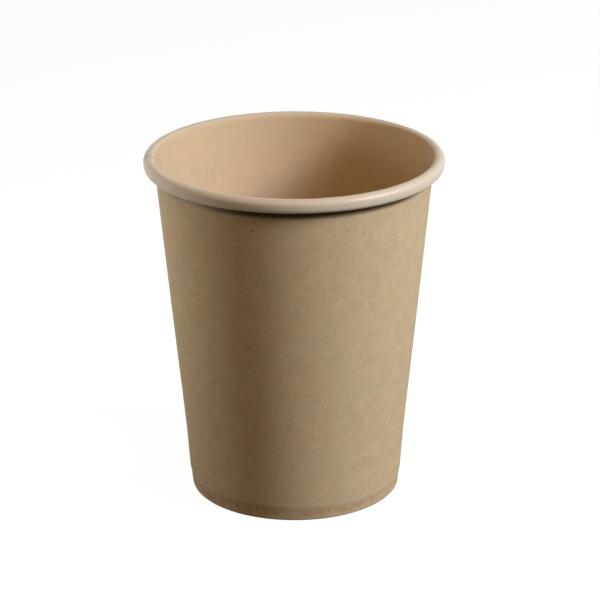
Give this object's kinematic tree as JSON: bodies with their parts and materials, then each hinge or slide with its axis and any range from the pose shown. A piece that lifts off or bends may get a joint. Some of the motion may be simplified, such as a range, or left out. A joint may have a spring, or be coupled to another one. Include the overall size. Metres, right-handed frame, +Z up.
{
  "type": "bamboo fiber cup",
  "caption": "Tapered single-wall paper cup of brown bamboo fibre, with an outward-rolled rim, a lapped side seam and a recessed bottom held in a folded, knurled foot.",
  "frame": {"origin": "on the cup's axis, at the level of the table that the foot stands on", "axes": "+Z up along the cup's axis, from the foot to the rim; the side seam faces 177 degrees anticlockwise from +X, so -Y is a side without a seam"},
  "size_m": [0.08, 0.08, 0.094],
  "materials": {
    "wall_paper": "matt",
    "bottom_paper": "satin coating"
  },
  "bodies": {
    "root": {"sidewall": "wall_paper", "bottom_disc": "bottom_paper"}
  },
  "joints": []
}
